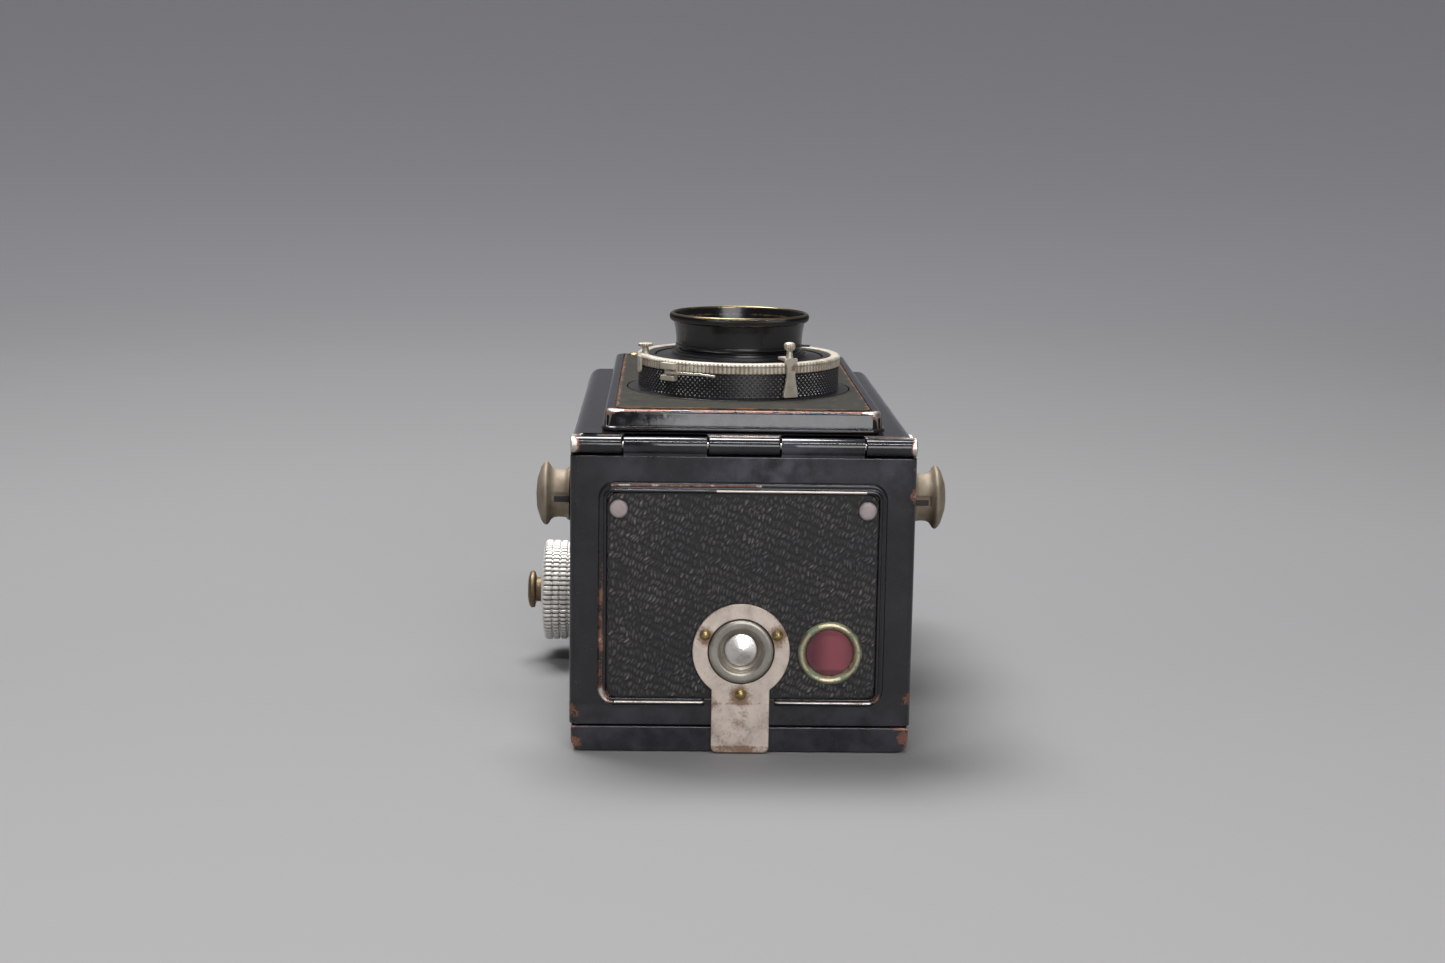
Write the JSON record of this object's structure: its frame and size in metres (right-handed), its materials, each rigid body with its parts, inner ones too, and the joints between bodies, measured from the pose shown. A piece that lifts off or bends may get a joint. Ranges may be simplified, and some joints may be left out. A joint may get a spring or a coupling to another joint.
{
  "type": "twin lens reflex camera",
  "caption": "Folding-hood roll-film camera with two stacked lenses, rack focusing, pull-out spool knobs, a hinged base and back, and a mirror finder.",
  "frame": {"origin": "middle of the outer face of the back, on which the camera lies", "axes": "+Z out of the back through the lenses, +Y from the base to the folding hood, +X to the right seen from the base with the lenses up"},
  "size_m": [0.1012, 0.143, 0.0965],
  "materials": {
    "black_enamel": "gloss black enamel, brassed along the edges",
    "black_leather": "black pebble-grain leathercloth",
    "nickel": "tarnished nickel plate",
    "aged_brass": "aged brass with a dark patina",
    "bright_alloy": "bright knurled alloy",
    "black_metal": "satin black lacquer on brass",
    "panel_paint": "dark grey-green textured paint",
    "red_glass": "dark red inspection glass",
    "lens_glass": "polished optical glass",
    "ground_glass": "finely ground on one side",
    "mirror_silver": "front-silvered glass",
    "spool_black": "black painted tinplate",
    "spring_steel": "tempered strip"
  },
  "bodies": {
    "camera_body": {"body_shell": "black_enamel", "base_hinge_pin": "nickel", "back_hinge_pin": "nickel", "side_leather_left": "black_leather", "side_leather_right": "black_leather", "strap_lug_left": "nickel", "strap_lug_right": "nickel", "light_chamber": "black_metal", "takeup_pivot": "nickel", "mirror": "mirror_silver", "mirror_frame": "black_metal", "ground_glass": "ground_glass", "focus_sleeve": "black_metal", "hood_frame": "black_enamel"},
    "base_door": {"base_door": "black_enamel", "base_leather": "black_leather", "latch_plate": "nickel", "tripod_bush": "nickel", "latch_rivet_1": "aged_brass", "latch_rivet_2": "aged_brass", "latch_rivet_3": "aged_brass", "foot_stud_left": "nickel", "foot_stud_right": "nickel", "window_ring": "aged_brass", "window_glass": "red_glass"},
    "back_cover": {"back_cover": "black_enamel", "back_leather": "black_leather", "pressure_spring": "spring_steel"},
    "pressure_plate": {"pressure_plate": "black_metal"},
    "film_roller": {"film_roller": "bright_alloy"},
    "supply_spool": {"supply_spool": "spool_black"},
    "winder": {"winding_knob": "bright_alloy", "takeup_spool": "spool_black"},
    "wind_button": {"wind_button": "aged_brass"},
    "spool_knob_left": {"spool_knob_left": "nickel"},
    "spool_knob_right": {"spool_knob_right": "nickel"},
    "focus_drive": {"focus_knob": "bright_alloy", "focus_pinion": "nickel"},
    "lens_board": {"lens_board": "black_enamel", "board_panel": "panel_paint", "board_screw_left": "aged_brass", "board_screw_right": "aged_brass", "shutter_housing": "black_metal", "shutter_face": "black_metal", "taking_lens": "lens_glass", "release_block": "nickel", "viewing_lens_tube": "black_metal", "viewing_lens": "lens_glass", "focus_rack": "nickel"},
    "aperture_ring": {"aperture_ring": "nickel"},
    "cocking_lever": {"cocking_lever": "nickel"},
    "release_lever": {"release_lever": "nickel"},
    "lens_hood": {"lens_hood": "black_metal"},
    "hood_lid": {"hood_lid": "black_enamel", "hood_lid_leather": "black_leather"},
    "magnifier": {"magnifier_frame": "black_metal", "magnifier_lens": "lens_glass"},
    "hood_side_left": {"hood_side_left": "black_enamel"},
    "hood_side_right": {"hood_side_right": "black_enamel"},
    "hood_rear_leaf": {"hood_rear_leaf": "black_enamel"}
  },
  "joints": [
    {"name": "base_door_hinge", "type": "hinge", "parent": "camera_body", "child": "base_door", "pos_m": [0, -0.0621, 0.07085], "axis": [-1, 0, 0], "range_deg": [0, 110]},
    {"name": "back_cover_hinge", "type": "hinge", "parent": "camera_body", "child": "back_cover", "pos_m": [0, 0.0646, 0.0062], "axis": [1, 0, 0], "range_deg": [0, 100]},
    {"name": "pressure_plate_press", "type": "slide", "parent": "back_cover", "child": "pressure_plate", "axis": [0, 0, -1], "range_m": [0, 0.0005]},
    {"name": "film_roller_turn", "type": "hinge", "parent": "camera_body", "child": "film_roller", "pos_m": [0, -0.0535, 0.0115], "axis": [1, 0, 0], "continuous": true},
    {"name": "supply_spool_turn", "type": "hinge", "parent": "camera_body", "child": "supply_spool", "pos_m": [0, -0.0465, 0.057], "axis": [1, 0, 0], "continuous": true},
    {"name": "winding_knob_turn", "type": "hinge", "parent": "camera_body", "child": "winder", "pos_m": [0, 0.025, 0.0182], "axis": [1, 0, 0], "continuous": true},
    {"name": "wind_button_press", "type": "slide", "parent": "winder", "child": "wind_button", "axis": [1, 0, 0], "range_m": [0, 0.0015]},
    {"name": "spool_knob_left_pull", "type": "slide", "parent": "camera_body", "child": "spool_knob_left", "axis": [-1, 0, 0], "range_m": [0, 0.006]},
    {"name": "spool_knob_right_pull", "type": "slide", "parent": "camera_body", "child": "spool_knob_right", "axis": [1, 0, 0], "range_m": [0, 0.006]},
    {"name": "focus_knob_turn", "type": "hinge", "parent": "camera_body", "child": "focus_drive", "pos_m": [0.039, 0.017, 0.047], "axis": [1, 0, 0], "range_deg": [0, 57.3]},
    {"name": "lens_board_extend", "type": "slide", "parent": "camera_body", "child": "lens_board", "axis": [0, 0, 1], "range_m": [0, 0.0045]},
    {"name": "aperture_ring_turn", "type": "hinge", "parent": "lens_board", "child": "aperture_ring", "pos_m": [0, -0.014, 0.0849], "axis": [0, 0, -1], "range_deg": [0, 50]},
    {"name": "cocking_lever_swing", "type": "hinge", "parent": "lens_board", "child": "cocking_lever", "pos_m": [0, -0.014, 0.0849], "axis": [0, 0, -1], "range_deg": [0, 30]},
    {"name": "release_lever_swing", "type": "hinge", "parent": "lens_board", "child": "release_lever", "pos_m": [0, -0.014, 0.0849], "axis": [0, 0, -1], "range_deg": [0, 12]},
    {"name": "lens_hood_pull_off", "type": "slide", "parent": "lens_board", "child": "lens_hood", "axis": [0, 0, 1], "range_m": [0, 0.01]},
    {"name": "hood_lid_open", "type": "hinge", "parent": "camera_body", "child": "hood_lid", "pos_m": [0, 0.0759, 0.0676], "axis": [1, 0, 0], "range_deg": [0, 90]},
    {"name": "magnifier_fold", "type": "hinge", "parent": "hood_lid", "child": "magnifier", "pos_m": [0, 0.0744, 0.0376], "axis": [-1, 0, 0], "range_deg": [0, 90]},
    {"name": "hood_side_left_fold", "type": "hinge", "parent": "camera_body", "child": "hood_side_left", "pos_m": [-0.0318, 0.0683, 0.038], "axis": [0, 0, 1], "range_deg": [0, 90]},
    {"name": "hood_side_right_fold", "type": "hinge", "parent": "camera_body", "child": "hood_side_right", "pos_m": [0.0318, 0.0683, 0.038], "axis": [0, 0, -1], "range_deg": [0, 90]},
    {"name": "hood_rear_leaf_fold", "type": "hinge", "parent": "camera_body", "child": "hood_rear_leaf", "pos_m": [0, 0.0674, 0.0114], "axis": [-1, 0, 0], "range_deg": [0, 90]}
  ],
  "couplings": [
    {"joint": "focus_knob_turn", "follows": "lens_board_extend", "rad_per_m": 222.22},
    {"joint": "magnifier_fold", "follows": "hood_lid_open", "ratio": 1},
    {"joint": "hood_side_left_fold", "follows": "hood_lid_open", "ratio": 1},
    {"joint": "hood_side_right_fold", "follows": "hood_lid_open", "ratio": 1},
    {"joint": "hood_rear_leaf_fold", "follows": "hood_lid_open", "ratio": 1}
  ]
}
